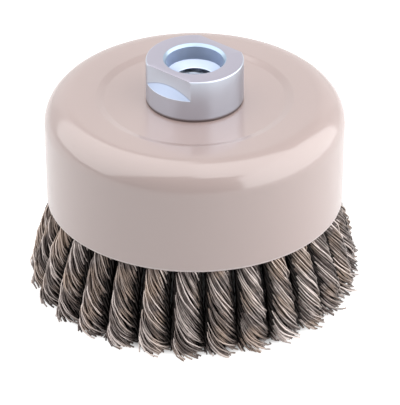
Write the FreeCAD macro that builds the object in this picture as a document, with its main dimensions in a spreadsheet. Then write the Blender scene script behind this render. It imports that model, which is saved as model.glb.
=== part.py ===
"""Twist-knot wire cup brush for an angle grinder, as a parametric document.

Millimetres, +Z up. The origin is on the brush's axis, in the plane of the wire tips,
so the brush stands on its wires with the threaded nut on top.
"""
import FreeCAD, Part
import math
import os
import re

import PartDesign
import Sketcher

os.makedirs("parts", exist_ok=True)
doc = FreeCAD.newDocument("wire_cup_brush")

# Driving dimensions, in millimetres, degrees and plain counts
SIZES = {
    # Drawn steel cup
    "cup_radius": 45.0,
    "cup_depth": 34.4,
    "cup_sheet": 2.0,
    "rim_tuck": 0.5,
    "rim_round": 0.6,
    "shoulder_radius": 8.8,
    "top_land": 7.0,
    "disc_recess": 0.7,
    "disc_ramp": 2.4,
    "disc_round": 3.0,
    # Threaded nut with its riveted shank
    "nut_radius": 14.7,
    "nut_height": 13.6,
    "nut_round": 0.5,
    "flat_width": 24.0,
    "flat_height": 7.0,
    "flat_corner": 2.6,
    "flat_angle": 50.0,
    "relief_radius": 8.6,
    "relief_depth": 5.1,
    "relief_cone": 1.6,
    "mouth_chamfer": 0.9,
    "thread_core_radius": 6.0,
    "thread_lead_in": 0.8,
    "shank_radius": 10.0,
    "shank_clearance": 0.1,
    "rivet_overlap": 2.8,
    "rivet_lip": 1.8,
    "rivet_round": 0.9,
    # Holding ring that the knots loop through
    "ring_sheet": 2.0,
    "ring_bend": 2.0,
    "ring_web": 2.4,
    "hole_clearance": 0.8,
    # Inner dish that keeps the knots apart from the middle
    "dish_sheet": 1.5,
    "dish_depth": 20.7,
    "dish_bend": 2.5,
    # Washer under the riveted lip
    "washer_overlap": 1.2,
    "washer_thickness": 2.0,
    # Knots of twisted wire
    "knot_count": 28,
    "first_knot": -92.9,
    "tip_overhang": 5.5,
    "brush_reach": 27.5,
    "knot_rim_depth": 8.6,
    "knot_tip_depth": 11.8,
    "knot_bulge": 1.4,
    "knot_clearance": 0.3,
    "knot_spacing": 0.3,
    "bundle_radius": 2.0,
    "loop_drop": 8.7,
    "twist_turns": 1.15,
    "twist_gather": 1.25,
    "strand_count": 6,
    "groove_ratio": 0.2,
    "twist_steps": 13,
    "neck_ratio": 0.72,
    "neck_length": 60.0,
}

LOOP_SIDES = 6
LOOP_STEPS = 5
NEAR = 1e-4

sheet = doc.addObject("Spreadsheet::Sheet", "Sizes")
for row, (alias, number) in enumerate(SIZES.items(), start=1):
    sheet.set(f"A{row}", alias)
    sheet.set(f"B{row}", str(number))
    sheet.setAlias(f"B{row}", alias)
doc.recompute()


def bound(expression):
    """Write the sheet's name before each alias in an expression."""
    return re.sub(r"\b([a-z]+(?:_[a-z]+)+)\b", r"Sizes.\1", expression)


def value(expression):
    """The number that an expression of the sheet's aliases has now."""
    return float(sheet.evalExpression(bound(expression)))


# Heights above the plane of the wire tips
RIM = "brush_reach"
CUP_TOP = f"({RIM} + cup_depth)"
DISC_TOP = f"({CUP_TOP} - disc_recess)"
DISC_UNDER = f"({DISC_TOP} - cup_sheet)"
RING_UNDER = f"({DISC_UNDER} - ring_sheet)"
DISH_UNDER = f"({RING_UNDER} - dish_sheet)"
DISH_EDGE = f"({RING_UNDER} - dish_depth)"
WASHER_UNDER = f"({DISH_UNDER} - washer_thickness)"
NUT_TOP = f"({DISC_TOP} + nut_height)"
NUT_BOTTOM = f"({WASHER_UNDER} - rivet_lip)"
RELIEF_FLOOR = f"({NUT_TOP} - relief_depth)"
LOOP_CENTRE = f"({RING_UNDER} - loop_drop)"

# Radii that more than one piece shares
WALL_RADIUS = "(cup_radius + rim_tuck)"
STACK_BORE = "(shank_radius + shank_clearance)"
RIVET_RADIUS = "(shank_radius + rivet_overlap)"
WASHER_RADIUS = f"({RIVET_RADIUS} + washer_overlap)"

# Line that each knot and the ring's flange follow, leaning outwards towards the tips
KNOT_AT_RIM = "(cup_radius - cup_sheet - knot_clearance - knot_rim_depth / 2)"
KNOT_AT_TIP = "(cup_radius + tip_overhang - knot_tip_depth / 2)"
SLOPE = f"(({KNOT_AT_TIP} - {KNOT_AT_RIM}) / brush_reach)"
STRETCH = f"sqrt(1 + {SLOPE} * {SLOPE})"


def knot_line(height):
    """Radius of the knots' middle line at a height, as an expression."""
    return f"({KNOT_AT_RIM} - ({height} - {RIM}) * {SLOPE})"


# Loop of each knot round the web under its hole in the ring
LOOP_INSIDE = "(ring_sheet / 2 + knot_clearance)"
LOOP_PATH = f"({LOOP_INSIDE} + bundle_radius)"
LOOP_REACH = f"({LOOP_PATH} + bundle_radius)"
HOLE_RADIUS = "(bundle_radius + hole_clearance)"
HOLE_CENTRE = f"({LOOP_CENTRE} + {LOOP_PATH} / {STRETCH})"
FLANGE_EDGE = f"({HOLE_CENTRE} - {HOLE_RADIUS} - ring_web)"
KNOT_TOP = f"({FLANGE_EDGE} - knot_clearance)"
NECK_DEPTH = f"({LOOP_REACH} * {STRETCH})"

# Inner side of the knots between their top and the rim, which the dish follows
INSIDE_AT_RIM = f"({KNOT_AT_RIM} - knot_rim_depth / 2)"
INSIDE_AT_TOP = f"({knot_line(KNOT_TOP)} - {NECK_DEPTH})"
INSIDE_SLOPE = f"(({INSIDE_AT_RIM} - {INSIDE_AT_TOP}) / ({KNOT_TOP} - {RIM}))"


def dish_line(height):
    """Outer radius of the dish's wall at a height, as an expression."""
    return f"({INSIDE_AT_RIM} - ({height} - {RIM}) * {INSIDE_SLOPE} - knot_clearance)"


def origin_feature(body, role):
    """The origin plane or axis of a body that has the given role."""
    return next(item for item in body.Origin.OriginFeatures if item.Role == role)


def new_body(label):
    """An empty body whose label names its file."""
    body = doc.addObject("PartDesign::Body", label)
    body.Label = label
    return body


def new_sketch(body, name, role):
    """An empty sketch on one of the body's own origin planes."""
    sketch = body.newObject("Sketcher::SketchObject", name)
    sketch.AttachmentSupport = [(origin_feature(body, role), "")]
    sketch.MapMode = "FlatFace"
    return sketch


def dimension(sketch, kind, expression, *where):
    """Add one dimension to a sketch and bind it to the sheet."""
    index = sketch.addConstraint(Sketcher.Constraint(kind, *where, value(expression)))
    sketch.setExpression(f"Constraints[{index}]", bound(expression))


def add_outline(sketch, corners):
    """Draw a closed outline through corners given as pairs of expressions."""
    points = [FreeCAD.Vector(value(across), value(up), 0) for across, up in corners]
    first = sketch.GeometryCount
    count = len(points)
    for step in range(count):
        sketch.addGeometry(Part.LineSegment(points[step], points[(step + 1) % count]), False)
    for step in range(count):
        sketch.addConstraint(
            Sketcher.Constraint("Coincident", first + step, 2, first + (step + 1) % count, 1)
        )
    for step, (across, up) in enumerate(corners):
        dimension(sketch, "DistanceX", across, -1, 1, first + step, 1)
        dimension(sketch, "DistanceY", up, -1, 1, first + step, 1)


def revolve(body, corners):
    """Turn a profile of radius and height corners round the body's vertical axis."""
    sketch = new_sketch(body, f"{body.Label}_profile", "XZ_Plane")
    add_outline(sketch, corners)
    turned = body.newObject("PartDesign::Revolution", f"{body.Label}_turned")
    turned.Profile = sketch
    turned.ReferenceAxis = (sketch, ["V_Axis"])
    turned.Angle = 360.0
    doc.recompute()
    return turned


def ring_edges(shape, rings):
    """Names of the round edges of a shape at the given radius and height pairs."""
    wanted = [(value(radius), value(height)) for radius, height in rings]
    return [
        f"Edge{index}"
        for index, edge in enumerate(shape.Edges, start=1)
        if isinstance(edge.Curve, Part.Circle)
        for radius, height in wanted
        if abs(edge.Curve.Radius - radius) < NEAR and abs(edge.Curve.Center.z - height) < NEAR
    ]


def level_edges(shape, height):
    """Names of the straight level edges of a shape at a height."""
    return [
        f"Edge{index}"
        for index, edge in enumerate(shape.Edges, start=1)
        if isinstance(edge.Curve, Part.Line)
        and all(abs(vertex.Z - value(height)) < NEAR for vertex in edge.Vertexes)
    ]


def dress(body, kind, name, size_property, size, rings):
    """Round or chamfer the body's edges at the given rings."""
    base = body.Tip
    feature = body.newObject(f"PartDesign::{kind}", name)
    feature.Base = (base, ring_edges(base.Shape, rings))
    feature.setExpression(size_property, bound(size))
    doc.recompute()
    return feature


def add_fillet(body, name, radius, rings):
    """Round edges of a turned body."""
    return dress(body, "Fillet", name, "Radius", radius, rings)


def add_chamfer(body, name, size, rings):
    """Chamfer edges of a turned body at 45 degrees."""
    return dress(body, "Chamfer", name, "Size", size, rings)


def turn_about_axis(item, angle):
    """Turn a body about the brush's axis by an angle from the sheet."""
    turn = FreeCAD.Rotation(FreeCAD.Vector(0, 0, 1), value(angle))
    item.Placement = FreeCAD.Placement(FreeCAD.Vector(), turn)
    item.setExpression("Placement.Rotation.Angle", bound(angle))


def make_cup():
    """Deep-drawn cup with a recessed disc round its middle hole."""
    cup = new_body("cup_shell")
    ramp_out = f"({WALL_RADIUS} - shoulder_radius - top_land)"
    ramp_in = f"({ramp_out} - disc_ramp)"
    under_top = f"({CUP_TOP} - cup_sheet)"
    inner_wall = f"({WALL_RADIUS} - cup_sheet)"
    inner_rim = "(cup_radius - cup_sheet)"
    revolve(cup, [
        (STACK_BORE, DISC_TOP),
        (ramp_in, DISC_TOP),
        (ramp_out, CUP_TOP),
        (WALL_RADIUS, CUP_TOP),
        ("cup_radius", RIM),
        (inner_rim, RIM),
        (inner_wall, under_top),
        (ramp_out, under_top),
        (ramp_in, DISC_UNDER),
        (STACK_BORE, DISC_UNDER),
    ])
    add_fillet(cup, "outer_shoulder", "shoulder_radius", [(WALL_RADIUS, CUP_TOP)])
    add_fillet(cup, "inner_shoulder", "shoulder_radius - cup_sheet", [(inner_wall, under_top)])
    add_fillet(cup, "disc_edge", "disc_round", [
        (ramp_in, DISC_TOP),
        (ramp_out, CUP_TOP),
        (ramp_out, under_top),
        (ramp_in, DISC_UNDER),
    ])
    add_fillet(cup, "rim_edge", "rim_round", [("cup_radius", RIM), (inner_rim, RIM)])
    return cup


def make_nut():
    """Nut with a relief above its thread, two spanner flats and a riveted shank."""
    nut = new_body("arbor_nut")
    revolve(nut, [
        ("thread_core_radius", NUT_BOTTOM),
        ("thread_core_radius", f"{RELIEF_FLOOR} - relief_cone"),
        ("relief_radius", RELIEF_FLOOR),
        ("relief_radius", NUT_TOP),
        ("nut_radius", NUT_TOP),
        ("nut_radius", DISC_TOP),
        ("shank_radius", DISC_TOP),
        ("shank_radius", WASHER_UNDER),
        (RIVET_RADIUS, WASHER_UNDER),
        (RIVET_RADIUS, NUT_BOTTOM),
    ])
    add_chamfer(nut, "mouth", "mouth_chamfer", [("relief_radius", NUT_TOP)])
    add_fillet(nut, "top_edge", "nut_round", [("nut_radius", NUT_TOP)])
    add_chamfer(nut, "lead_in", "thread_lead_in", [("thread_core_radius", NUT_BOTTOM)])
    add_fillet(nut, "rivet_edge", "rivet_round", [(RIVET_RADIUS, NUT_BOTTOM)])
    flats = new_sketch(nut, "spanner_flats", "XY_Plane")
    flats.setExpression("AttachmentOffset.Base.z", bound(NUT_TOP))
    doc.recompute()
    for side in ("", "-"):
        near = f"{side}flat_width / 2"
        far = f"{side}(nut_radius + flat_width)"
        add_outline(flats, [
            (near, "-nut_radius * 2"),
            (far, "-nut_radius * 2"),
            (far, "nut_radius * 2"),
            (near, "nut_radius * 2"),
        ])
    pocket = nut.newObject("PartDesign::Pocket", "flats_milled")
    pocket.Profile = flats
    pocket.setExpression("Length", bound("flat_height"))
    doc.recompute()
    corners = nut.newObject("PartDesign::Fillet", "flats_corner")
    corners.Base = (pocket, level_edges(pocket.Shape, f"{NUT_TOP} - flat_height"))
    corners.setExpression("Radius", bound("flat_corner"))
    turn_about_axis(nut, "flat_angle")
    return nut


def make_ring():
    """Holding ring: a pressed plate whose leaning flange has one hole for each knot."""
    ring = new_body("knot_ring")
    half_wall = f"(ring_sheet / 2 * {STRETCH})"
    outer_bend = f"({knot_line(DISC_UNDER)} + {half_wall})"
    inner_bend = f"({knot_line(RING_UNDER)} - {half_wall})"
    revolve(ring, [
        (STACK_BORE, DISC_UNDER),
        (outer_bend, DISC_UNDER),
        (f"{knot_line(FLANGE_EDGE)} + {half_wall}", FLANGE_EDGE),
        (f"{knot_line(FLANGE_EDGE)} - {half_wall}", FLANGE_EDGE),
        (inner_bend, RING_UNDER),
        (STACK_BORE, RING_UNDER),
    ])
    add_fillet(ring, "outer_bend", "ring_bend + ring_sheet", [(outer_bend, DISC_UNDER)])
    add_fillet(ring, "inner_bend", "ring_bend", [(inner_bend, RING_UNDER)])
    hole = new_sketch(ring, "knot_hole", "YZ_Plane")
    centre = FreeCAD.Vector(0, value(HOLE_CENTRE), 0)
    hole.addGeometry(Part.Circle(centre, FreeCAD.Vector(0, 0, 1), value(HOLE_RADIUS)), False)
    hole.addConstraint(Sketcher.Constraint("PointOnObject", 0, 3, -2))
    dimension(hole, "DistanceY", HOLE_CENTRE, -1, 1, 0, 3)
    dimension(hole, "Radius", HOLE_RADIUS, 0)
    punched = ring.newObject("PartDesign::Pocket", "hole_punched")
    punched.Profile = hole
    punched.Reversed = True
    punched.setExpression("Length", bound("cup_radius"))
    doc.recompute()
    holes = ring.newObject("PartDesign::PolarPattern", "holes_punched")
    holes.Originals = [punched]
    holes.Axis = (origin_feature(ring, "Z_Axis"), [""])
    holes.Angle = 360.0
    holes.setExpression("Occurrences", bound("knot_count"))
    ring.Tip = holes
    turn_about_axis(ring, "first_knot")
    return ring


def make_dish():
    """Inner dish that backs the knots and closes the cup round the shank."""
    dish = new_body("inner_dish")
    wall = f"(dish_sheet * sqrt(1 + {INSIDE_SLOPE} * {INSIDE_SLOPE}))"
    inner_bend = f"({dish_line(DISH_UNDER)} - {wall})"
    revolve(dish, [
        (STACK_BORE, RING_UNDER),
        (dish_line(RING_UNDER), RING_UNDER),
        (dish_line(DISH_EDGE), DISH_EDGE),
        (f"{dish_line(DISH_EDGE)} - {wall}", DISH_EDGE),
        (inner_bend, DISH_UNDER),
        (STACK_BORE, DISH_UNDER),
    ])
    add_fillet(dish, "outer_bend", "dish_bend + dish_sheet", [(dish_line(RING_UNDER), RING_UNDER)])
    add_fillet(dish, "inner_bend", "dish_bend", [(inner_bend, DISH_UNDER)])
    return dish


def make_washer():
    """Flat washer between the dish and the riveted lip."""
    washer = new_body("rivet_washer")
    face = new_sketch(washer, "washer_face", "XY_Plane")
    face.setExpression("AttachmentOffset.Base.z", bound(WASHER_UNDER))
    for index, radius in enumerate((WASHER_RADIUS, STACK_BORE)):
        face.addGeometry(Part.Circle(FreeCAD.Vector(), FreeCAD.Vector(0, 0, 1), value(radius)), False)
        face.addConstraint(Sketcher.Constraint("Coincident", index, 3, -1, 1))
        dimension(face, "Radius", radius, index)
    plate = washer.newObject("PartDesign::Pad", "washer_plate")
    plate.Profile = face
    plate.setExpression("Length", bound("washer_thickness"))
    return washer


def solid_of(facets):
    """One solid from flat facets, each a list of corners seen from outside."""
    faces = [Part.Face(Part.makePolygon([*corners, corners[0]])) for corners in facets]
    shell = Part.Shell(faces)
    shell.sewShape()
    return Part.Solid(shell)


def skin(rings, close_triangles):
    """Facets of a solid whose sections, from the top down, all have as many corners.

    close_triangles splits each side facet along its shorter diagonal, for twisted sides.
    """
    facets = [rings[0], rings[-1][::-1]]
    for upper, lower in zip(rings, rings[1:]):
        for corner, _ in enumerate(upper):
            following = (corner + 1) % len(upper)
            quad = [upper[corner], lower[corner], lower[following], upper[following]]
            if close_triangles:
                facets.append([quad[0], quad[1], quad[3]])
                facets.append([quad[3], quad[1], quad[2]])
            else:
                facets.append(quad)
    return facets


def knot_section(height, twist):
    """Corners of a knot's section: strands side by side in an egg-shaped outline.

    The outline widens with the radius, so that neighbouring knots stay knot_spacing apart.
    Below the cup's rim, which holds it together, the knot bows outwards by knot_bulge.
    """
    top = value(KNOT_TOP)
    rim = value(RIM)
    rim_half = value("knot_rim_depth / 2")
    below_rim = max(0.0, (rim - height) / rim)
    if height > rim:
        half_depth = rim_half + (value(NECK_DEPTH) - rim_half) * (height - rim) / (top - rim)
    else:
        half_depth = rim_half + (value("knot_tip_depth / 2") - rim_half) * below_rim
    neck_ratio = value("neck_ratio")
    fill = min(1.0, neck_ratio + (1.0 - neck_ratio) * (top - height) / value("neck_length"))
    bow = value("knot_bulge") * 4.0 * below_rim * (1.0 - below_rim)
    middle = value(KNOT_AT_RIM) - (height - rim) * value(SLOPE) + bow
    pitch_tangent = math.tan(math.pi / value("knot_count"))
    corners = []
    strands = int(value("strand_count"))
    for corner in range(2 * strands):
        angle = twist + math.pi * corner / strands
        reach = 1.0 - value("groove_ratio") * (corner % 2)
        outward = half_depth * math.cos(angle)
        half_width = (middle + outward) * pitch_tangent - value("knot_spacing") / 2
        sideways = fill * half_width * math.sin(angle)
        corners.append(FreeCAD.Vector(middle + reach * outward, reach * sideways, height))
    return corners


def twist_shares():
    """Shares of a knot's twist at its sections, one of which is level with the cup's rim."""
    steps = int(value("twist_steps"))
    at_rim = (1.0 - value(RIM) / value(KNOT_TOP)) ** value("twist_gather")
    upper = max(1, round(steps * at_rim))
    lower = steps - upper
    return [at_rim * step / upper for step in range(upper)] + [
        at_rim + (1.0 - at_rim) * step / lower for step in range(lower + 1)
    ]


def twisted_bundle():
    """Twisted part of a knot, from under the ring's flange down to the tips."""
    top = value(KNOT_TOP)
    whole_twist = 2 * math.pi * value("twist_turns")
    sections = []
    for share in twist_shares():
        height = top * (1.0 - share ** (1.0 / value("twist_gather")))
        sections.append(knot_section(height, whole_twist * share))
    return solid_of(skin(sections, close_triangles=True))


def root_loop():
    """Loop of a knot: in at the ring's hole and down both sides of the flange."""
    slope = value(SLOPE)
    along = FreeCAD.Vector(-slope, 0, 1).normalize()
    across = FreeCAD.Vector(1, 0, slope).normalize()
    middle = FreeCAD.Vector(value(knot_line(LOOP_CENTRE)), 0, value(LOOP_CENTRE))
    path = value(LOOP_PATH)
    bundle = value("bundle_radius")
    sections = []
    for step in range(LOOP_STEPS + 1):
        turn = math.pi * step / LOOP_STEPS
        spoke = across * -math.cos(turn) + along * math.sin(turn)
        section = []
        for side in range(LOOP_SIDES):
            angle = 2 * math.pi * side / LOOP_SIDES
            radial = spoke * (path + bundle * math.cos(angle))
            section.append(middle + radial + FreeCAD.Vector(0, bundle * math.sin(angle), 0))
        sections.append(section)
    legs = []
    for section in (sections[0], sections[-1]):
        legs.append([point - along * ((point.z - value(KNOT_TOP)) / along.z) for point in section])
    return solid_of(skin([legs[0], *sections, legs[1]], close_triangles=False))


def make_knots():
    """All the knots: one shape, set round the ring at its holes."""
    shape = twisted_bundle().fuse(root_loop()).removeSplitter()
    count = int(value("knot_count"))
    knots = []
    for index in range(count):
        label = f"wire_knot_{index + 1:02d}"
        knot = doc.addObject("Part::Feature", label)
        knot.Label = label
        knot.Shape = shape
        angle = value("first_knot") + 360.0 * index / count
        knot.Placement = FreeCAD.Placement(
            FreeCAD.Vector(), FreeCAD.Rotation(FreeCAD.Vector(0, 0, 1), angle)
        )
        knots.append(knot)
    return knots


pieces = [make_cup(), make_nut(), make_ring(), make_dish(), make_washer(), *make_knots()]
doc.recompute()

for item in doc.Objects:
    if {"Invalid", "Error"} & set(item.State):
        raise RuntimeError(f"{item.Label} did not compute: {item.State}")
for piece in pieces:
    if piece.Shape.isNull() or not piece.Shape.isValid():
        raise RuntimeError(f"{piece.Label} has no valid shape")
for piece in pieces:
    piece.Shape.exportStep(f"parts/{piece.Label}.step")
    box = piece.Shape.BoundBox
    print(f"{piece.Label}: {len(piece.Shape.Solids)} solid, {piece.Shape.Volume:.1f} mm3, "
          f"z {box.ZMin:.2f} to {box.ZMax:.2f}, x {box.XMin:.2f} to {box.XMax:.2f}")
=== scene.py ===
"""Looks of a twist-knot wire cup brush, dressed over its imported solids.

The brush stands on its wire tips with the threaded nut on top. Everything is in metres, in the
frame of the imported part: +Z up the axis, the origin in the plane of the tips. The wires of the
knots and their loops are made by geometry nodes, the cup and the nut are turned from profiles,
and the pressed plates inside keep their own solids.
"""
import logging
import math
from dataclasses import dataclass, field
from enum import Enum
from typing import Any, Callable

import bmesh
import bpy
from mathutils import Matrix, Vector

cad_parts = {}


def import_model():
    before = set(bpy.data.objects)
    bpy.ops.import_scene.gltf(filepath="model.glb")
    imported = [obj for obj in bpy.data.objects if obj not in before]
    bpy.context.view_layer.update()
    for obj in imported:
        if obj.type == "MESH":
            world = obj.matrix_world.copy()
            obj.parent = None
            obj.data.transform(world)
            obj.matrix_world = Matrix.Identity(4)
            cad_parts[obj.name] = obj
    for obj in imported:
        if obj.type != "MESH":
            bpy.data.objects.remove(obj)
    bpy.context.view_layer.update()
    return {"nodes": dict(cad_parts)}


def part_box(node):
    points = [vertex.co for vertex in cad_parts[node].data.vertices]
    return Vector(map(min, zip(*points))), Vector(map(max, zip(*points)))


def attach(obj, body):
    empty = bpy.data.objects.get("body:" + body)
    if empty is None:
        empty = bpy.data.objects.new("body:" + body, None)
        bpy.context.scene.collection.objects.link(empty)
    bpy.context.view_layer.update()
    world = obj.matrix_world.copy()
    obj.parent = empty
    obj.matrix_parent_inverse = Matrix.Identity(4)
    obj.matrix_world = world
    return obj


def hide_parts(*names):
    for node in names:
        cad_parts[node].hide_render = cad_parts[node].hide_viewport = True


MM = 0.001
FULL_TURN = 2 * math.pi
QUARTER_TURN = math.pi / 2
BODY = "root"
SHADE = "shade"

log = logging.getLogger("cup_brush")

Pair = tuple[float, float]
Triple = tuple[float, float, float]
Color = Triple
Profile = list[Pair]
Piece = bpy.types.Object
Material = bpy.types.Material
Socket = bpy.types.NodeSocket
Inputs = dict[str | int, Any] | None
Route = Callable[["Field", "Field"], Socket]


class Slot(Enum):
    """Names of material slots, one for each finish of the brush."""

    PAINT = "cup_paint"
    ZINC = "nut_zinc"
    PLATE = "plate_steel"
    WIRE = "wire_steel"


class Sum(Enum):
    """Sums that a field can take part in, named as the math node names them."""

    ADD = "ADD"
    SUBTRACT = "SUBTRACT"
    MULTIPLY = "MULTIPLY"
    DIVIDE = "DIVIDE"
    POWER = "POWER"
    SINE = "SINE"
    COSINE = "COSINE"
    LEAST = "MINIMUM"
    MOST = "MAXIMUM"
    SIZE = "ABSOLUTE"


class Draw(Enum):
    """Random draws for each wire, by what they add to the knot's seed."""

    LIFT = 0.0
    JITTER = 5.0
    SHADE = 11.0
    SPLAY = 23.0
    REACH = 31.0
    CURL = 41.0
    PACE = 53.0


class Field:
    """A number inside a node tree that can be added, multiplied and so on."""

    def __init__(self, grove: "Grove", socket: Socket) -> None:
        """Wrap an output socket of a tree that gives a number."""
        self.grove = grove
        self.socket = socket

    def __add__(self, other: "Field | float") -> "Field":
        """This field plus another."""
        return self.grove.reckon(Sum.ADD, self, other)

    def __radd__(self, other: float) -> "Field":
        """A number plus this field."""
        return self.grove.reckon(Sum.ADD, other, self)

    def __sub__(self, other: "Field | float") -> "Field":
        """This field less another."""
        return self.grove.reckon(Sum.SUBTRACT, self, other)

    def __rsub__(self, other: float) -> "Field":
        """A number less this field."""
        return self.grove.reckon(Sum.SUBTRACT, other, self)

    def __mul__(self, other: "Field | float") -> "Field":
        """This field times another."""
        return self.grove.reckon(Sum.MULTIPLY, self, other)

    def __truediv__(self, other: "Field | float") -> "Field":
        """This field divided by another."""
        return self.grove.reckon(Sum.DIVIDE, self, other)

    def __pow__(self, other: "Field | float") -> "Field":
        """This field to a power."""
        return self.grove.reckon(Sum.POWER, self, other)

    def sine(self) -> "Field":
        """Sine of this field, taken as an angle in radians."""
        return self.grove.reckon(Sum.SINE, self)

    def cosine(self) -> "Field":
        """Cosine of this field, taken as an angle in radians."""
        return self.grove.reckon(Sum.COSINE, self)

    def size(self) -> "Field":
        """This field without its sign."""
        return self.grove.reckon(Sum.SIZE, self)

    def at_least(self, floor: "Field | Socket | float") -> "Field":
        """The larger of this field and a floor."""
        return self.grove.reckon(Sum.MOST, self, floor)

    def at_most(self, ceiling: "Field | float") -> "Field":
        """The smaller of this field and a ceiling."""
        return self.grove.reckon(Sum.LEAST, self, ceiling)


class Grove:
    """A node tree under construction."""

    def __init__(self, tree: bpy.types.NodeTree) -> None:
        """Take up a tree to build in."""
        self.tree = tree

    def feed(self, socket: Socket, source: Any) -> None:
        """Link a field or a socket to an input, or write a plain value there.

        Args:
            socket: the input.
            source: a field, an output socket, a plain value or a colour.
        """
        if isinstance(source, Field):
            source = source.socket
        if isinstance(source, Socket):
            self.tree.links.new(source, socket)
        elif socket.type == "RGBA":
            socket.default_value = (*source, 1.0)
        else:
            socket.default_value = source

    def add(self, kind: str, inputs: Inputs = None, **settings: Any) -> bpy.types.Node:
        """Add a node, set it up and feed its inputs.

        Args:
            kind: the node's type.
            inputs: what goes into each input.
            settings: the node's own properties.

        Returns:
            The new node.
        """
        node = self.tree.nodes.new(kind)
        for name, setting in settings.items():
            setattr(node, name, setting)
        for name, source in (inputs or {}).items():
            self.feed(node.inputs[name], source)
        return node

    def value(self, kind: str, inputs: Inputs = None, output: str | int = 0, **settings: Any) -> Field:
        """Add a node for the number that one of its outputs gives."""
        return Field(self, self.add(kind, inputs, **settings).outputs[output])

    def reckon(self, kind: Sum, *terms: Any) -> Field:
        """Work out a sum of one or two terms."""
        return self.value("ShaderNodeMath", dict(enumerate(terms)), operation=kind.value)

    def vector(self, across: Any, sideways: Any, up: Any) -> Socket:
        """Put three numbers together to a vector."""
        return self.add("ShaderNodeCombineXYZ", {"X": across, "Y": sideways, "Z": up}).outputs[0]

    def noise(self, place: Socket, fineness: float, detail: float = 2.0) -> Field:
        """Noise between 0 and 1 at a place, with some finer layers."""
        return self.value("ShaderNodeTexNoise", {"Vector": place, "Scale": fineness, "Detail": detail})


class Former(Grove):
    """A geometry node tree with named inputs, which makes a mesh."""

    def __init__(self, name: str) -> None:
        """Start an empty tree.

        Args:
            name: name of the tree.
        """
        super().__init__(bpy.data.node_groups.new(name, "GeometryNodeTree"))
        self.tree.interface.new_socket("Geometry", in_out="OUTPUT", socket_type="NodeSocketGeometry")
        self.entry = self.tree.nodes.new("NodeGroupInput")
        self.identifiers: dict[str, str] = {}

    def number(self, name: str, whole: bool = False) -> Field:
        """Add a named input that holds a number.

        Args:
            name: the input's name.
            whole: whether the number is a whole one.

        Returns:
            The input.
        """
        kind = "NodeSocketInt" if whole else "NodeSocketFloat"
        item = self.tree.interface.new_socket(name, in_out="INPUT", socket_type=kind)
        self.identifiers[name] = item.identifier
        return Field(self, self.entry.outputs[name])

    def chance(self, draw: Draw, low: float, high: float, wire: Field, seed: Field) -> Field:
        """A random number for each wire, drawn by its own number and the knot's seed."""
        terms = {2: low, 3: high, "ID": wire, "Seed": seed + draw.value}
        return self.value("FunctionNodeRandomValue", terms, 1)

    def ripple(self, wire: Field, along: Field, seed: Field, pace: Triple) -> Field:
        """Waves along each wire, between about -1 and 1, with a pace for each of three terms."""
        place = self.vector(wire * pace[0], along * pace[1], seed * pace[2])
        return (self.noise(place, 1.0, detail=1.0) - 0.5) * 2.0

    def run(self, name: str, values: dict[str, float]) -> Piece:
        """Evaluate the tree and keep the plain mesh that it makes.

        Args:
            name: name of the piece.
            values: a value for each named input.

        Returns:
            The piece, at the origin.
        """
        piece = linked(name, bpy.data.meshes.new(name))
        modifier = piece.modifiers.new("build", "NODES")
        modifier.node_group = self.tree
        for key, identifier in self.identifiers.items():
            modifier[identifier] = values[key]
        depsgraph = bpy.context.evaluated_depsgraph_get()
        mesh = bpy.data.meshes.new_from_object(piece.evaluated_get(depsgraph), depsgraph=depsgraph)
        piece.modifiers.remove(modifier)
        piece.data = mesh
        mesh.name = name
        return piece


class Coat(Grove):
    """A material under construction."""

    def __init__(self, name: str) -> None:
        """Start a material with a principled shader.

        Args:
            name: name of the material.
        """
        self.material = bpy.data.materials.new(name)
        self.material.use_nodes = True
        super().__init__(self.material.node_tree)
        self.tree.nodes.clear()
        self.shader = self.add("ShaderNodeBsdfPrincipled")
        self.add("ShaderNodeOutputMaterial", {"Surface": self.shader.outputs[0]})
        self.place = self.add("ShaderNodeTexCoord").outputs["Object"]

    def set(self, **values: Any) -> None:
        """Set inputs of the shader, named with underscores for spaces."""
        for name, source in values.items():
            self.feed(self.shader.inputs[name.replace("_", " ").title().replace("Ior", "IOR")], source)

    def grain(self, fineness: float, detail: float = 2.0) -> Field:
        """Noise between 0 and 1 over the surface, with some finer layers."""
        return self.noise(self.place, fineness, detail)

    def mixed(self, amount: Field, low: Any, high: Any) -> Socket:
        """A colour between two, plain or varied, from 0 for the first to 1 for the second."""
        return self.add("ShaderNodeMix", {"Factor": amount, 6: low, 7: high}, data_type="RGBA").outputs[2]

    def clouded(self, amount: Field, color: Color, shares: Pair) -> Socket:
        """A colour that varies between two shares of its brightness."""
        dark, bright = (tuple(part * share for part in color) for share in shares)
        return self.mixed(amount, dark, bright)

    def ramp(self, amount: Field, start: float, stop: float) -> Field:
        """A value that goes from 0 to 1 while another goes from start to stop."""
        return self.value("ShaderNodeMapRange", {"Value": amount, "From Min": start, "From Max": stop})

    def spread(self, amount: Field, limits: Pair) -> Field:
        """Spread a value from 0 to 1 between two limits."""
        low, high = limits
        return self.value("ShaderNodeMapRange", {"Value": amount, "To Min": low, "To Max": high})

    def bump(self, height: Field, depth: float, strength: float) -> None:
        """Give the shader bumps of a depth in metres, of which a share shows."""
        node = self.add("ShaderNodeBump", {"Height": height, "Distance": depth, "Strength": strength})
        self.set(normal=node.outputs[0])


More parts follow.
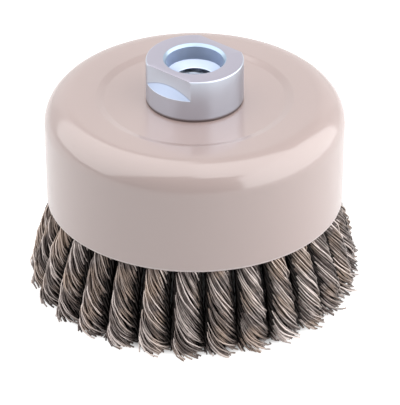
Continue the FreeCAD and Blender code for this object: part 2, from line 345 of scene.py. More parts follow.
@dataclass(frozen=True)
class SatinPaint:
    """Stoved satin paint on the cup, with a faint orange peel and a painted highlight along the rim."""

    rim_height: float
    color: Color = (0.525, 0.39, 0.363)
    cloud_fineness: float = 18.0
    cloud_shares: Pair = (0.965, 1.03)
    # Painted highlight: a lighter colour in a thin band just above the rim, where its edge catches the
    # light.
    rim_highlight_color: Color = (0.68, 0.57, 0.55)
    rim_highlight_line: float = 0.8 * MM
    rim_highlight_blend: float = 0.1 * MM
    roughness: Pair = (0.41, 0.50)
    roughness_fineness: float = 140.0
    specular: float = 0.7
    coat_weight: float = 0.65
    coat_ior: float = 2.2
    coat_roughness: float = 0.14
    peel_fineness: float = 420.0
    peel_depth: float = 0.02 * MM
    peel_strength: float = 0.5

    def material(self) -> Material:
        """Build the material.

        Returns:
            The material.
        """
        coat = Coat("satin_paint")
        height = coat.value("ShaderNodeSeparateXYZ", {"Vector": coat.place}, "Z")
        # Mask of the painted highlight band along the rim.
        edge = self.rim_height + self.rim_highlight_line
        above_rim_highlight = coat.ramp(height, edge - self.rim_highlight_blend, edge + self.rim_highlight_blend)
        dull = coat.grain(self.roughness_fineness)
        paint = coat.clouded(coat.grain(self.cloud_fineness, detail=3.0), self.color, self.cloud_shares)
        coat.set(
            base_color=coat.mixed(above_rim_highlight, self.rim_highlight_color, paint),
            roughness=coat.spread(dull, self.roughness),
            specular_ior_level=self.specular,
            coat_weight=self.coat_weight,
            coat_ior=self.coat_ior,
            coat_roughness=self.coat_roughness,
        )
        coat.bump(coat.grain(self.peel_fineness), self.peel_depth, self.peel_strength)
        return coat.material


@dataclass(frozen=True)
class TurnedZinc:
    """Bright zinc plating over turned and milled steel, with painted shade in the thread's roots and at
    the seat.
    """

    thread_top: float
    seat_height: float
    top_height: float
    cone_height: float
    cone_radius: float
    cone_slope: float
    color: Color = (0.505, 0.545, 0.62)
    cloud_fineness: float = 120.0
    cloud_shares: Pair = (0.96, 1.04)
    face_color: Color = (0.44, 0.42, 0.49)
    cone_color: Color = (0.335, 0.385, 0.495)
    cone_roughness: float = 0.18
    bore_color: Color = (0.48, 0.545, 0.67)
    bore_radius: float = 9.5 * MM
    # The mouth's chamfer is painted darker than the bore below it, to dim the highlight it catches.
    mouth_shaded_color: Color = (0.36, 0.45, 0.55)
    mouth_depth: float = 0.85 * MM
    # Painted shade inside the thread: the roots take a dark colour, and the flanks keep only a share of
    # the zinc.
    root_shade_color: Color = (0.24, 0.265, 0.31)
    root_shade_radius: float = 6.5 * MM
    flank_unshaded_share: float = 0.4
    # Painted shadow: a dark band where the nut sits in the cup's disc.
    seat_shadow_color: Color = (0.18, 0.155, 0.155)
    seat_shadow_band: Pair = (0.57 * MM, 1.14 * MM)
    blend: float = 0.02 * MM
    roughness: Pair = (0.30, 0.36)
    mark_fineness: float = 5200.0
    mark_depth: float = 0.012 * MM
    mark_strength: float = 0.6

    def material(self) -> Material:
        """Build the material, with tool marks that run round the axis.

        Returns:
            The material.
        """
        coat = Coat("turned_zinc")
        blend = self.blend
        parts = coat.add("ShaderNodeSeparateXYZ", {"Vector": coat.place}).outputs
        height = Field(coat, parts["Z"])
        flat = coat.vector(parts["X"], parts["Y"], 0.0)
        radius = coat.value("ShaderNodeVectorMath", {0: flat}, "Value", operation="LENGTH")
        cloud = coat.grain(self.cloud_fineness)
        zinc = coat.clouded(cloud, self.color, self.cloud_shares)
        on_top = coat.ramp(height, self.top_height - 4 * blend, self.top_height - blend)
        zinc = coat.mixed(on_top, zinc, self.face_color)
        above_foot = coat.ramp(height, self.cone_height - 2.5 * blend, self.cone_height + blend)
        within = coat.ramp(radius, self.cone_radius - blend, self.cone_radius - 4 * blend)
        crease = self.cone_height + self.cone_radius * self.cone_slope
        climb = radius * self.cone_slope + height
        below_flat = coat.ramp(climb, crease + 25 * blend, crease + 2.5 * blend)
        on_cone = above_foot * below_flat * within
        zinc = coat.mixed(on_cone, zinc, self.cone_color)
        # The chamfer at the mouth takes the darker colour, painted to dim its highlight.
        mouth = self.top_height - self.mouth_depth
        in_mouth = coat.ramp(height, mouth, mouth + 2.5 * blend)
        bore = coat.mixed(in_mouth, self.bore_color, self.mouth_shaded_color)
        outside = coat.ramp(radius, self.bore_radius - 5 * blend, self.bore_radius + 5 * blend)
        zinc = coat.mixed(outside, bore, zinc)
        # Painted shadow line round the nut's seat.
        off_seat_shadow = coat.ramp((height - self.seat_height).size(), *self.seat_shadow_band)
        zinc = coat.mixed(off_seat_shadow, self.seat_shadow_color, zinc)
        # Painted shade over the thread, darkest in its roots and lighter on the flanks near the core.
        above_thread = coat.ramp(height, self.thread_top - 5 * blend, self.thread_top)
        shallow = coat.ramp(radius, self.root_shade_radius + 5 * blend, self.root_shade_radius - 5 * blend)
        unshaded = above_thread.at_least(outside).at_least(shallow * self.flank_unshaded_share)
        dull = coat.spread(cloud, self.roughness)
        coat.set(
            base_color=coat.mixed(unshaded, self.root_shade_color, zinc),
            metallic=1.0,
            roughness=dull + on_cone * self.cone_roughness,
        )
        marks = coat.noise(coat.vector(radius, 0.0, height), self.mark_fineness, detail=3.0)
        coat.bump(marks, self.mark_depth, self.mark_strength)
        return coat.material


@dataclass(frozen=True)
class PressedSteel:
    """Plain pressed sheet steel, oiled and a little dull, its colour darkened as painted shade for the
    inside of the cup.
    """

    # Painted shade: the plates' colour is kept very dark for the shade inside the cup, seen between the
    # knots.
    color: Color = (0.105, 0.092, 0.084)
    blotch_fineness: float = 90.0
    blotch_shares: Pair = (0.7, 1.25)
    roughness: Pair = (0.34, 0.56)
    grain_fineness: float = 1400.0
    grain_depth: float = 0.02 * MM
    grain_strength: float = 0.5

    def material(self) -> Material:
        """Build the material.

        Returns:
            The material.
        """
        coat = Coat("pressed_steel")
        blotch = coat.grain(self.blotch_fineness, detail=5.0)
        coat.set(
            base_color=coat.clouded(blotch, self.color, self.blotch_shares),
            metallic=1.0,
            roughness=coat.spread(blotch, self.roughness),
        )
        coat.bump(coat.grain(self.grain_fineness, detail=4.0), self.grain_depth, self.grain_strength)
        return coat.material


@dataclass(frozen=True)
class DrawnWire:
    """Tempered steel wire, each wire a shade of its own, painted near black in the heart of a knot as
    shade.
    """

    # Painted shade: the near-black colour of the wires in a knot's heart.
    heart: Color = (0.016, 0.013, 0.012)
    heart_shade_tones: Pair = (-0.4, 0.0)
    dark: Color = (0.105, 0.084, 0.078)
    light: Color = (0.69, 0.605, 0.57)
    tan: Color = (0.40, 0.30, 0.235)
    tan_fineness: float = 110.0
    tan_limits: Pair = (0.46, 0.84)
    stain_fineness: float = 420.0
    stain_limits: Pair = (-0.34, 0.30)
    metallic: float = 0.85
    roughness: Pair = (0.26, 0.45)
    grain_fineness: float = 2600.0
    grain_depth: float = 0.03 * MM
    grain_strength: float = 0.4

    def material(self) -> Material:
        """Build the material from the shade that each wire carries.

        Returns:
            The material.
        """
        coat = Coat("drawn_wire")
        shade = coat.value("ShaderNodeAttribute", None, "Fac", attribute_name=SHADE)
        stain = coat.grain(self.stain_fineness, detail=3.0)
        warm = coat.ramp(coat.grain(self.tan_fineness), *self.tan_limits)
        wire = coat.mixed(shade + coat.spread(stain, self.stain_limits), self.dark, self.light)
        wire = coat.mixed(warm, wire, self.tan)
        coat.set(
            # Wires whose stored value falls below zero take the heart's painted shade.
            base_color=coat.mixed(coat.ramp(shade, *self.heart_shade_tones), self.heart, wire),
            metallic=self.metallic,
            roughness=coat.spread(stain, self.roughness),
        )
        coat.bump(coat.grain(self.grain_fineness), self.grain_depth, self.grain_strength)
        return coat.material


def linked(name: str, data: Any) -> Piece:
    """Put a mesh, a lamp or a camera in the scene.

    Args:
        name: name of the object.
        data: what it shows.

    Returns:
        The object.
    """
    item = bpy.data.objects.new(name, data)
    bpy.context.scene.collection.objects.link(item)
    return item


def keep(piece: Piece, slot: Slot, *nodes: str) -> None:
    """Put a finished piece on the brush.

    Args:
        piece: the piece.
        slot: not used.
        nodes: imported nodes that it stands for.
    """
    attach(piece, BODY)
    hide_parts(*nodes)
    piece.data.calc_loop_triangles()
    log.info("%s: %d triangles for %s", piece.name, len(piece.data.loop_triangles), ", ".join(nodes))


def mesh_object(name: str, points: list[Vector], faces: list[list[int]], material: Material) -> Piece:
    """Make an object from points and faces.

    Args:
        name: name of the object and its mesh.
        points: corners, in metres.
        faces: corner numbers of each face.
        material: the finish.

    Returns:
        The object, linked to the scene.
    """
    mesh = bpy.data.meshes.new(name)
    mesh.from_pydata(points, [], faces)
    mesh.materials.append(material)
    return linked(name, mesh)


def ring_object(name: str, columns: list[list[Vector]], material: Material) -> Piece:
    """Join closed profiles that stand round the axis to a ring.

    Args:
        name: name of the object.
        columns: points of each profile, as many in each.
        material: the finish.

    Returns:
        The ring.
    """
    rows = len(columns[0])
    faces = []
    for column in range(len(columns)):
        near = column * rows
        far = (column + 1) % len(columns) * rows
        for row in range(rows):
            following = (row + 1) % rows
            faces.append([near + row, near + following, far + following, far + row])
    return mesh_object(name, [point for column in columns for point in column], faces, material)


def shade_smooth(mesh: bpy.types.Mesh, limit: float) -> None:
    """Shade a mesh smooth, apart from edges that turn by more than a limit in degrees."""
    mesh.shade_smooth()
    mesh.set_sharp_from_angle(angle=math.radians(limit))


def around(radius: float, angle: float, height: float) -> Vector:
    """A point at a radius, an angle round the axis and a height."""
    return Vector((radius * math.cos(angle), radius * math.sin(angle), height))


def rounded(corners: list[Triple], step_degrees: float) -> Profile:
    """Round the corners of a closed profile.

    Args:
        corners: radius, height and rounding of each corner, all in metres.
        step_degrees: largest turn from one point of an arc to the next.

    Returns:
        Points of the rounded profile, as radius and height.
    """
    outline: Profile = []
    count = len(corners)
    for index, (radius, height, rounding) in enumerate(corners):
        if rounding <= 0.0:
            outline.append((radius, height))
            continue
        here = Vector((radius, height))
        before = (Vector(corners[index - 1][:2]) - here).normalized()
        after = (Vector(corners[(index + 1) % count][:2]) - here).normalized()
        turn = math.pi - before.angle(after)
        run = rounding * math.tan(turn / 2)
        centre = here + (before + after).normalized() * (rounding / math.cos(turn / 2))
        first = here + before * run - centre
        last = here + after * run - centre
        steps = max(2, math.ceil(math.degrees(turn) / step_degrees))
        for step in range(steps + 1):
            share = step / steps
            arm = first * math.sin((1 - share) * turn) + last * math.sin(share * turn)
            outline.append(tuple(centre + arm / math.sin(turn)))
    return outline


@dataclass
class CupShell:
    """Deep-drawn cup: wall, shoulder, flat top and a recessed disc round the nut."""

    rim_height: float
    top_height: float
    rim_radius: float = 45.0 * MM
    wall_radius: float = 45.5 * MM
    sheet: float = 2.0 * MM
    shoulder: float = 8.8 * MM
    top_land: float = 7.0 * MM
    disc_recess: float = 0.7 * MM
    disc_ramp: float = 2.4 * MM
    disc_rounding: float = 3.0 * MM
    rim_rounding: float = 0.6 * MM
    hole_radius: float = 10.1 * MM
    segments: int = 240
    arc_step: float = 5.0
    smooth_limit: float = 40.0

    def build(self) -> Piece:
        """Turn the cup and dress it.

        Returns:
            The finished cup.
        """
        ramp_out = self.wall_radius - self.shoulder - self.top_land
        ramp_in = ramp_out - self.disc_ramp
        disc = self.top_height - self.disc_recess
        under = self.top_height - self.sheet
        outline = rounded([
            (self.hole_radius, disc, 0.0),
            (ramp_in, disc, self.disc_rounding),
            (ramp_out, self.top_height, self.disc_rounding),
            (self.wall_radius, self.top_height, self.shoulder),
            (self.rim_radius, self.rim_height, self.rim_rounding),
            (self.rim_radius - self.sheet, self.rim_height, self.rim_rounding),
            (self.wall_radius - self.sheet, under, self.shoulder - self.sheet),
            (ramp_out, under, self.disc_rounding),
            (ramp_in, disc - self.sheet, self.disc_rounding),
            (self.hole_radius, disc - self.sheet, 0.0),
        ], self.arc_step)
        columns = [
            [around(radius, FULL_TURN * step / self.segments, height) for radius, height in outline]
            for step in range(self.segments)
        ]
        cup = ring_object("painted_cup", columns, SatinPaint(self.rim_height).material())
        shape = bmesh.new()
        shape.from_mesh(cup.data)
        bmesh.ops.recalc_face_normals(shape, faces=shape.faces)
        shape.to_mesh(cup.data)
        shape.free()
        shade_smooth(cup.data, self.smooth_limit)
        keep(cup, Slot.PAINT, "cup_shell")
        return cup


@dataclass
class ArborNut:
    """Zinc-plated nut with two spanner flats, a relieved mouth and a cut thread."""

    top_height: float
    seat_height: float
    bottom_height: float
    washer_under: float
    radius: float = 14.7 * MM
    top_rounding: float = 0.5 * MM
    flat_reach: float = 12.0 * MM
    cone_depth: float = 6.5 * MM
    cone_slope: float = 0.83
    flat_angle: float = math.radians(50.0)
    relief_radius: float = 8.6 * MM
    relief_depth: float = 5.1 * MM
    relief_cone: float = 1.6 * MM
    mouth_chamfer: float = 0.8 * MM
    thread_core: float = 6.0 * MM
    thread_depth: float = 1.1 * MM
    thread_pitch: float = 2.0 * MM
    thread_crest: float = 0.15
    thread_end: float = 0.4 * MM
    first_root: float = 1.05 * MM
    lead_in: float = 0.8 * MM
    shank_radius: float = 10.0 * MM
    rivet_radius: float = 12.8 * MM
    rivet_rounding: float = 0.9 * MM
    softening: float = 0.14 * MM
    sharp_limit: float = 25.0
    smooth_limit: float = 32.0
    near: float = 0.1 * MM
    weld: float = 0.0002 * MM
    segments: int = 180
    thread_rows: int = 70
    arc_step: float = 9.0

    def angles(self) -> list[float]:
        """Angles of the columns, with one at each edge of the flats.

        Returns:
            Angles in radians, in rising order.
        """
        spacing = FULL_TURN / self.segments
        half = math.acos(self.flat_reach / self.radius)
        corners = [
            (self.flat_angle + side + sign * half) % FULL_TURN
            for side in (0.0, math.pi)
            for sign in (-1, 1)
        ]
        even = [FULL_TURN * step / self.segments for step in range(self.segments)]
        free = [angle for angle in even if all(abs(angle - corner) > spacing / 2 for corner in corners)]
        return sorted(free + corners)

    def off_flat(self, column: float) -> float:
        """Angle between a column and the middle of the flat on its side, up to a quarter turn."""
        return (column - self.flat_angle + QUARTER_TURN) % math.pi - QUARTER_TURN

    def milled(self, column: float, radius: float, height: float) -> Vector:
        """Place of a point of the nut's outside once its flats are milled.

        Columns shift a little with the radius, so that one of them follows each end of a flat.

        Args:
            column: angle of the point's column.
            radius: radius before milling.
            height: height of the point.

        Returns:
            The point.
        """
        angle = column
        if radius > self.flat_reach:
            side = self.off_flat(column)
            base = math.acos(self.flat_reach / self.radius)
            half = math.acos(self.flat_reach / radius)
            if abs(side) <= base:
                moved = side * half / base
            else:
                beside = (abs(side) - base) * (QUARTER_TURN - half) / (QUARTER_TURN - base)
                moved = math.copysign(half + beside, side)
            angle = column - side + moved
            if abs(moved) < half:
                radius = self.flat_reach / math.cos(moved)
        return around(radius, angle, height)

    def crease(self, column: float, foot: float) -> Vector:
        """Point where a flat ends in the cone below it, or the cone's foot beside the flats."""
        radius = min(self.radius, self.flat_reach / math.cos(self.off_flat(column)))
        return around(radius, column, foot + (self.radius - radius) * self.cone_slope)

    def groove(self, angle: float, height: float, top: float, run: float) -> float:
        """How deep the right-handed thread is cut at a point, as a share of its depth.

        Args:
            angle: angle round the axis.
            height: height of the point.
            top: top of the thread.
            run: length of the thread.

        Returns:
            A share from 0 on the crests to 1 in the roots.
        """
        turn = ((height - (top - self.first_root)) / self.thread_pitch - (angle / FULL_TURN - 0.25)) % 1.0
        wave = abs(2.0 * turn - 1.0)
        cut = min(1.0, max(0.0, (wave - self.thread_crest) / (1.0 - 2 * self.thread_crest)))
        to_end = min(top - height, height - (top - run))
        return cut * min(1.0, to_end / self.thread_end)

    def build(self) -> Piece:
        """Turn, mill and thread the nut.

        Returns:
            The finished nut.
        """
        relief_floor = self.top_height - self.relief_depth
        thread_top = relief_floor - self.relief_cone
        foot = self.top_height - self.cone_depth
        soft = self.softening
        below = rounded([
            (self.thread_core, self.bottom_height + self.lead_in, 0.0),
            (self.thread_core + self.lead_in, self.bottom_height, 0.0),
            (self.rivet_radius, self.bottom_height, self.rivet_rounding),
            (self.rivet_radius, self.washer_under, soft),
            (self.shank_radius, self.washer_under, 0.0),
            (self.shank_radius, self.seat_height, 0.0),
            (self.radius, self.seat_height, soft * 2),
            (self.radius, foot - 2 * soft, 0.0),
            (self.radius, foot, 0.0),
        ], self.arc_step)
        above = rounded([
            (self.radius, foot, 0.0),
            (self.radius, self.top_height, self.top_rounding),
            (self.relief_radius + self.mouth_chamfer, self.top_height, soft),
            (self.relief_radius, self.top_height - self.mouth_chamfer, soft),
            (self.relief_radius, relief_floor, soft * 2),
            (self.thread_core, thread_top, 0.0),
        ], self.arc_step)[1:]
        run = thread_top - self.bottom_height - self.lead_in
        turns = [thread_top - run * row / self.thread_rows for row in range(1, self.thread_rows)]
        columns = []
        for angle in self.angles():
            column = [around(radius, angle, height) for radius, height in below]
            column.append(self.crease(angle, foot))
            column += [self.milled(angle, radius, height) for radius, height in above]
            for height in turns:
                cut = self.thread_depth * self.groove(angle, height, thread_top, run)
                column.append(around(self.thread_core + cut, angle, height))
            columns.append(column)
        sizes = (thread_top, self.seat_height, self.top_height, foot, self.radius, self.cone_slope)
        nut = ring_object("threaded_nut", columns, TurnedZinc(*sizes).material())
        self.soften(nut.data, foot)
        shade_smooth(nut.data, self.smooth_limit)
        keep(nut, Slot.ZINC, "arbor_nut")
        return nut

    def soften(self, mesh: bpy.types.Mesh, foot: float) -> None:
        """Close the mesh's doubles and take the sharpness off the milled edges.

        Args:
            mesh: the nut's mesh.
            foot: height of the lowest point of the flats.
        """
        shape = bmesh.new()
        shape.from_mesh(mesh)
        bmesh.ops.remove_doubles(shape, verts=shape.verts, dist=self.weld)
        bmesh.ops.recalc_face_normals(shape, faces=shape.faces)
        bore = self.relief_radius + self.mouth_chamfer + self.near
        edges = []
        for edge in shape.edges:
            middle = (edge.verts[0].co + edge.verts[1].co) / 2
            milled = math.hypot(middle.x, middle.y) > bore and middle.z > foot - self.near
            if milled and edge.calc_face_angle(0.0) > math.radians(self.sharp_limit):
                edges.append(edge)
        bmesh.ops.bevel(
            shape, geom=edges, offset=self.softening, segments=2, profile=0.5,
            affect="EDGES", clamp_overlap=True,
        )
        shape.to_mesh(mesh)
        shape.free()


@dataclass(frozen=True)
class Layer:
    """One layer of wires in a knot, with shares of the knot's own size for its places."""

    wires: int
    points: int
    wire_radius: float
    reach: float
    reach_spread: float
    sides: int = 5
    groove: float = 0.0
    start: float = 0.0
    tip_lift: float = 0.3 * MM
    tip_lift_spread: float = 1.5 * MM
    splay: float = 0.0
    curl: float = 0.0
    wander: float = 0.03
    jitter: float = 0.07
    twist_spread: float = 0.0
    width: float = 1.0
    # Share of each wire's random shade that the layer keeps; the inner layers keep less, painted darker
    # as shade.
    shade: float = 1.0
    # Added to each wire's stored value; below zero it gives the layer the heart's painted shade.
    tone: float = 0.0


@dataclass(frozen=True)
class Twist:
    """Named inputs of the tree that makes a knot."""

    seed: Field
    azimuth: Field
    turns: Field
    lean: Field
    fullness: Field


@dataclass
class WireKnots:
    """All the knots, each a bundle of wires twisted together below its loop.

    A knot is made in its own place, standing out along +X from the axis, and turned to its azimuth.
    """

    rim_height: float
    top_height: float
    loop_height: float
    line_at_rim: float = 38.4 * MM
    line_at_tip: float = 44.6 * MM
    rim_half_depth: float = 4.3 * MM
    tip_half_depth: float = 5.9 * MM
    bundle: float = 2.0 * MM
    loop_path: float = 3.3 * MM
    count: int = 28
    first_angle: float = math.radians(-92.9)
    spacing: float = 0.3 * MM
    neck_ratio: float = 0.72
    neck_length: float = 150.0 * MM
    tip_flare: float = 0.26
    fill_limit: float = 1.04
    bulge: float = 1.4 * MM
    turns: float = 1.16
    gather: float = 1.3
    strands: int = 6
    fray_start: float = 0.82
    drift: float = 0.16
    drift_pace: Triple = (3.7, 6.0, 1.3)
    weave_pace: Triple = (5.3, 15.0, 1.9)
    least_curl: float = 0.1
    loop_spin: Pair = (2.4, 0.6)
    layer_step: float = 1000.0
    loop_first: float = 9000.0
    seeds: tuple[int, int] = (3, 17)
    turns_wave: Triple = (0.07, 1.7, 0.0)
    lean_wave: Triple = (0.4 * MM, 2.4, 0.7)
    fullness_wave: Triple = (0.03, 3.1, 1.0)
    finish: DrawnWire = field(default_factory=DrawnWire)
    layers: tuple[Layer, ...] = (
        Layer(
            wires=34, points=40, wire_radius=0.28 * MM, reach=0.93, reach_spread=0.06, groove=0.12,
            splay=0.13, curl=0.6, wander=0.15, jitter=0.14, twist_spread=0.05, tip_lift_spread=2.0 * MM,
        ),
        # The second layer, painted darker as shade under the outer wires.
        Layer(
            wires=22, points=26, wire_radius=0.34 * MM, reach=0.76, reach_spread=0.05, groove=0.08,
            curl=0.3, shade=0.4,
        ),
        # The heart: fat dark wires, spread wide, that fill the gaps between knots with painted shade.
        Layer(
            wires=15, points=18, wire_radius=0.58 * MM, reach=0.38, reach_spread=0.0, width=2.9,
            tip_lift=2.2 * MM, tip_lift_spread=0.5 * MM, shade=0.0, tone=-0.5,
        ),
        Layer(
            wires=36, points=8, wire_radius=0.29 * MM, reach=0.42, reach_spread=0.32, start=0.80,
            tip_lift_spread=1.8 * MM, curl=0.3, shade=0.6,
        ),
        Layer(
            wires=8, points=40, wire_radius=0.25 * MM, reach=0.98, reach_spread=0.03,
            splay=0.21, curl=1.0, wander=0.14, jitter=0.5, twist_spread=0.16,
        ),
    )
    loop: Layer = Layer(wires=12, points=18, wire_radius=0.42 * MM, reach=1.0, reach_spread=0.0)

    @property
    def slope(self) -> float:
        """How far the knots lean outwards for each metre down."""
        return (self.line_at_tip - self.line_at_rim) / self.rim_height

    @property
    def stretch(self) -> float:
        """Length along the lean for each metre of height."""
        return math.hypot(1.0, self.slope)

    def build(self) -> list[Piece]:
        """Make every knot in its place.

        Returns:
            The knots, in the order of their nodes.
        """
        former = Former("wire_knot")
        twist = Twist(
            seed=former.number("Seed", whole=True),
            azimuth=former.number("Azimuth"),
            turns=former.number("Twist turns"),
            lean=former.number("Tip lean"),
            fullness=former.number("Fullness"),
        )
        joined = former.add("GeometryNodeJoinGeometry")
        for index, layer in enumerate(self.layers):
            former.feed(joined.inputs[0], self.twisted(former, layer, twist, self.layer_step * index))
        former.feed(joined.inputs[0], self.looped(former, twist))
        placed = former.add("GeometryNodeTransform", {
            "Geometry": joined.outputs[0],
            "Rotation": former.vector(0.0, 0.0, twist.azimuth),
        })
        real = former.add("GeometryNodeRealizeInstances", {"Geometry": placed.outputs[0]})
        smooth = former.add("GeometryNodeSetShadeSmooth", {"Geometry": real.outputs[0]})
        dressed = former.add("GeometryNodeSetMaterial", {
            "Geometry": smooth.outputs[0],
            "Material": self.finish.material(),
        })
        former.add("NodeGroupOutput", {0: dressed.outputs[0]})
        knots = []
        for index in range(self.count):
            knot = former.run(f"twisted_wires_{index + 1:02d}", {
                "Seed": self.seeds[0] + self.seeds[1] * index,
                "Azimuth": self.first_angle + FULL_TURN * index / self.count,
                "Twist turns": self.turns + self.varied(self.turns_wave, index),
                "Tip lean": self.varied(self.lean_wave, index),
                "Fullness": 1.0 + self.varied(self.fullness_wave, index),
            })
            keep(knot, Slot.WIRE, f"wire_knot_{index + 1:02d}")
            knots.append(knot)
        return knots

    def varied(self, wave: Triple, index: int) -> float:
        """A knot's part of a wave, which is given by its height, its step for each knot and its start."""
        height, step, start = wave
        return height * math.sin(step * index + start)

    def sweep(self, former: Former, layer: Layer, seed: Field, first: float, route: Route) -> Socket:
        """Sweep a layer of wires along their routes.

        Args:
            former: the tree.
            layer: sizes of the layer.
            seed: seed of the knot.
            first: number of the layer's first wire.
            route: gives a place for a wire's number and the share of its length.

        Returns:
            The wires' geometry socket.
        """
        line = former.add("GeometryNodeCurvePrimitiveLine")
        even = former.add("GeometryNodeResampleCurve", {"Curve": line.outputs[0], "Count": layer.points})
        many = former.add("GeometryNodeDuplicateElements", {
            "Geometry": even.outputs[0],
            "Amount": layer.wires,
        }, domain="SPLINE")
        share = former.value("GeometryNodeSplineParameter", None, "Factor")
        number = Field(former, many.outputs["Duplicate Index"])
        shade = former.chance(Draw.SHADE, 0.0, 1.0, number + first, seed)
        # Inner layers' wires are stored darker here, as painted shade.
        marked = former.add("GeometryNodeStoreNamedAttribute", {
            "Geometry": many.outputs[0],
            "Name": SHADE,
            "Value": shade * shade * layer.shade + layer.tone,
        }, data_type="FLOAT", domain="POINT")
        moved = former.add("GeometryNodeSetPosition", {
            "Geometry": marked.outputs[0],
            "Position": route(number, share),
        })
        ring = former.add("GeometryNodeCurvePrimitiveCircle", {
            "Resolution": layer.sides,
            "Radius": layer.wire_radius,
        })
        return former.add("GeometryNodeCurveToMesh", {
            "Curve": moved.outputs[0],
            "Profile Curve": ring.outputs[0],
            "Fill Caps": True,
        }).outputs[0]

    def twisted(self, former: Former, layer: Layer, twist: Twist, first: float) -> Socket:
        """One layer of wires in the twisted part of a knot.

        Args:
            former: the tree.
            layer: sizes of the layer.
            twist: inputs of the tree.
            first: number of the layer's first wire.

        Returns:
            The wires' geometry socket.
        """
        seed = twist.seed
        pitch_tangent = math.tan(math.pi / self.count)
        neck_half_depth = (self.loop_path + self.bundle) * self.stretch

        def route(number: Field, share: Field) -> Socket:
            """Place of a point on a wire of this layer.

            Args:
                number: the wire's number in its layer.
                share: share of the wire's length.

            Returns:
                The place.
            """
            wire = number + first
            along = share * (1.0 - layer.start) + layer.start
            lift = former.chance(Draw.LIFT, 0.0, 1.0, wire, seed) ** 2.0
            foot = lift * layer.tip_lift_spread + layer.tip_lift
            height = self.top_height - along ** (1.0 / self.gather) * (self.top_height - foot)
            below = ((self.rim_height - height) / self.rim_height).at_least(0.0)
            above = ((height - self.rim_height) / (self.top_height - self.rim_height)).at_least(0.0)
            half_depth = (
                self.rim_half_depth
                + below * (twist.fullness * self.tip_half_depth - self.rim_half_depth)
                + above * (neck_half_depth - self.rim_half_depth)
            )
            fill = (
                self.neck_ratio
                + (self.top_height - height) * ((1.0 - self.neck_ratio) / self.neck_length)
                + below ** 4.0 * self.tip_flare
            ).at_most(self.fill_limit)
            bow = below * (1.0 - below) * (4.0 * self.bulge)
            middle = self.line_at_rim + (self.rim_height - height) * self.slope + bow
            jitter = former.chance(Draw.JITTER, -layer.jitter, layer.jitter, wire, seed)
            start_angle = number * (FULL_TURN / layer.wires) + jitter
            drift = former.ripple(wire, along, seed, self.drift_pace)
            weave = former.ripple(wire, along, seed, self.weave_pace)
            flare = ((along - self.fray_start) / (1.0 - self.fray_start)).at_least(0.0) ** 2.0
            curl = flare * layer.curl * former.chance(Draw.CURL, self.least_curl, 1.0, wire, seed)
            pace = former.chance(Draw.PACE, -layer.twist_spread, layer.twist_spread, wire, seed) + 1.0
            angle = start_angle + along * twist.turns * pace * FULL_TURN + drift * self.drift + curl
            lobes = (start_angle * float(self.strands)).cosine() * 0.5 - 0.5
            splay = former.chance(Draw.SPLAY, 0.0, 1.0, wire, seed) ** 3.0
            reach = (
                layer.reach
                + former.chance(Draw.REACH, -1.0, 1.0, wire, seed) * layer.reach_spread
                + lobes * layer.groove
                + weave * layer.wander
                + flare * splay * layer.splay
            )
            outward = half_depth * angle.cosine()
            half_width = (middle + outward) * pitch_tangent - self.spacing / 2
            sideways = reach * (fill * half_width * angle.sine()) * layer.width
            aside = sideways.at_most(half_width).at_least(half_width * -1.0)
            return former.vector(middle + reach * outward, aside + twist.lean * below * below, height)

        return self.sweep(former, layer, seed, first, route)

    def looped(self, former: Former, twist: Twist) -> Socket:
        """Wires of the loop that holds a knot in its hole.

        Args:
            former: the tree.
            twist: inputs of the tree.

        Returns:
            The wires' geometry socket.
        """
        leg = (self.loop_height - self.top_height) * self.stretch
        bend = math.pi * self.loop_path
        foot = self.line_at_rim - (self.loop_height - self.rim_height) * self.slope

        def route(number: Field, share: Field) -> Socket:
            """Place of a point on a wire of the loop.

            Args:
                number: the wire's number in the loop.
                share: share of the wire's length.

            Returns:
                The place.
            """
            walked = share * (bend + 2 * leg)
            turn = ((walked - leg) / self.loop_path).at_least(0.0).at_most(math.pi)
            spin = number * self.loop_spin[0] + turn * self.loop_spin[1]
            room = self.bundle - self.loop.wire_radius
            depth = ((number + 0.5) / float(self.loop.wires)) ** 0.5 * room
            radial = self.loop_path + depth * spin.cosine()
            across = turn.cosine() * radial * -1.0
            hang = (leg - walked).at_least(0.0) + (walked - leg - bend).at_least(0.0)
            along = turn.sine() * radial - hang
            return former.vector(
                foot + (across - along * self.slope) / self.stretch,
                depth * spin.sine(),
                self.loop_height + (along + across * self.slope) / self.stretch,
            )

        return self.sweep(former, self.loop, twist.seed, self.loop_first, route)


@dataclass
class InnerPlates:
    """Pressed plates inside the cup, which keep their own solids."""

    nodes: dict[str, Piece]
    finish: PressedSteel = field(default_factory=PressedSteel)

    def dress(self) -> None:
        """Give the ring, the dish and the washer their finish."""
        material = self.finish.material()
        for name in ("knot_ring", "inner_dish", "rivet_washer"):
            plate = self.nodes[name]
            plate.data.materials.clear()
            plate.data.materials.append(material)
            log.info("%s: its own solid, dressed", name)


@dataclass(frozen=True)
class SoftBox:
    """One flat soft lamp, given by its middle seen from the cup's top and by its two sides."""

    name: str
    middle: Triple
    across: Triple
    along: Triple
    watts: float


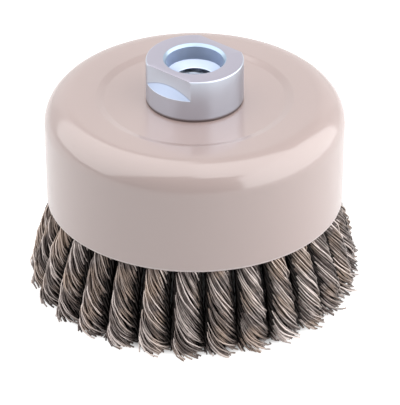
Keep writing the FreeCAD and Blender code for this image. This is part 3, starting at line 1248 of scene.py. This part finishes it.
@dataclass
class Studio:
    """Pale floor, soft boxes and the camera of the photograph."""

    target: Vector
    floor_size: float = 6.0
    floor_color: Color = (0.6, 0.6, 0.6)
    floor_roughness: float = 0.9
    floor_glow: float = 0.93
    shade_radius: Pair = (43.0 * MM, 48.0 * MM)
    white: Color = (1.0, 1.0, 1.0)
    lens: float = 366.0
    sensor: float = 36.0
    sight: float = 20.0
    camera_place: Triple = (1.57 * MM, -1070.5 * MM, 681.6 * MM)
    camera_pitch: float = math.radians(90.0 - 31.55)
    boxes: tuple[SoftBox, ...] = (
        SoftBox("left_roof", (-0.275, 0.02, 0.24), (0.55, 0.0, 0.42), (0.0, 0.60, 0.0), 1.62),
        SoftBox("right_wall", (0.36, -0.14, 0.20), (0.0, 0.79, 0.0), (0.0, 0.0, 0.50), 2.15),
        SoftBox("right_roof", (0.18, -0.105, 0.45), (0.36, 0.0, 0.0), (0.0, 0.55, 0.0), 0.92),
        SoftBox("back_wall", (0.0, 0.7, 0.25), (1.0, 0.0, 0.0), (0.0, 0.0, 0.5), 0.4),
    )

    def build(self) -> None:
        """Set up the floor, the world, the soft boxes and the camera."""
        self.lay_floor()
        self.light_world()
        for box in self.boxes:
            self.hang(box)
        self.stand_camera()

    def seen(self, grove: Grove) -> Field:
        """Whether a place is looked at, straight, in a mirror or through something clear.

        Args:
            grove: the tree that asks.

        Returns:
            1 where it is looked at, and 0 where it lights something.
        """
        path = grove.add("ShaderNodeLightPath").outputs
        mirrored = grove.reckon(Sum.MOST, path["Is Camera Ray"], path["Is Glossy Ray"])
        return mirrored.at_least(path["Is Transmission Ray"])

    def lay_floor(self) -> None:
        """Lay a pale floor that looks white, apart from the shade under and close round the brush."""
        half = self.floor_size / 2
        corners = [Vector((x * half, y * half, 0.0)) for x, y in ((-1, -1), (1, -1), (1, 1), (-1, 1))]
        coat = Coat("pale_floor")
        distance = coat.value("ShaderNodeVectorMath", {0: coat.place}, "Value", operation="LENGTH")
        glow = self.seen(coat) * coat.ramp(distance, *self.shade_radius) * self.floor_glow
        coat.set(base_color=self.floor_color, roughness=self.floor_roughness)
        coat.set(emission_color=self.white, emission_strength=glow)
        floor = mesh_object("floor", corners, [[0, 1, 2, 3]], coat.material)

    def light_world(self) -> None:
        """Give the world a white look that lights nothing."""
        world = bpy.data.worlds.new("studio")
        world.use_nodes = True
        grove = Grove(world.node_tree)
        shade = world.node_tree.nodes["Background"]
        grove.feed(shade.inputs["Color"], self.white)
        grove.feed(shade.inputs["Strength"], self.seen(grove))
        bpy.context.scene.world = world

    def hang(self, box: SoftBox) -> None:
        """Hang one soft box so that it shines on the brush.

        Args:
            box: the soft box.
        """
        across, along, middle = Vector(box.across), Vector(box.along), Vector(box.middle)
        data = bpy.data.lights.new(box.name, "AREA")
        data.shape = "RECTANGLE"
        data.size = across.length
        data.size_y = along.length
        data.energy = box.watts
        back = across.cross(along).normalized()
        if back.dot(middle) < 0.0:
            along = -along
            back = -back
        item = linked(box.name, data)
        item.matrix_world = Matrix((across.normalized(), along.normalized(), back)).transposed().to_4x4()
        item.location = self.target + middle

    def stand_camera(self) -> None:
        """Stand the camera where the photograph was taken from."""
        data = bpy.data.cameras.new("camera")
        data.sensor_fit = "VERTICAL"
        data.sensor_height = self.sensor
        data.lens = self.lens
        data.clip_end = self.sight
        camera = linked("camera", data)
        camera.location = self.camera_place
        camera.rotation_euler = (self.camera_pitch, 0.0, 0.0)
        bpy.context.scene.camera = camera


def main() -> None:
    """Build the brush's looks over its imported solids."""
    logging.basicConfig(level=logging.INFO, format="%(message)s")
    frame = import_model()
    cup_low, cup_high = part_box("cup_shell")
    nut_low, nut_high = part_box("arbor_nut")
    ring_low, ring_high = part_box("knot_ring")
    washer_low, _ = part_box("rivet_washer")
    cup = CupShell(rim_height=cup_low.z, top_height=cup_high.z)
    cup.build()
    ArborNut(
        top_height=nut_high.z,
        seat_height=cup_high.z - cup.disc_recess,
        bottom_height=nut_low.z,
        washer_under=washer_low.z,
    ).build()
    ring_gap, loop_drop = 0.3 * MM, 10.7 * MM
    WireKnots(
        rim_height=cup_low.z,
        top_height=ring_low.z - ring_gap,
        loop_height=ring_high.z - loop_drop,
    ).build()
    InnerPlates(frame["nodes"]).dress()
    bpy.context.scene.view_settings.view_transform = "Standard"
    Studio(target=Vector((0.0, 0.0, cup_high.z))).build()


if __name__ == "__main__":
    main()
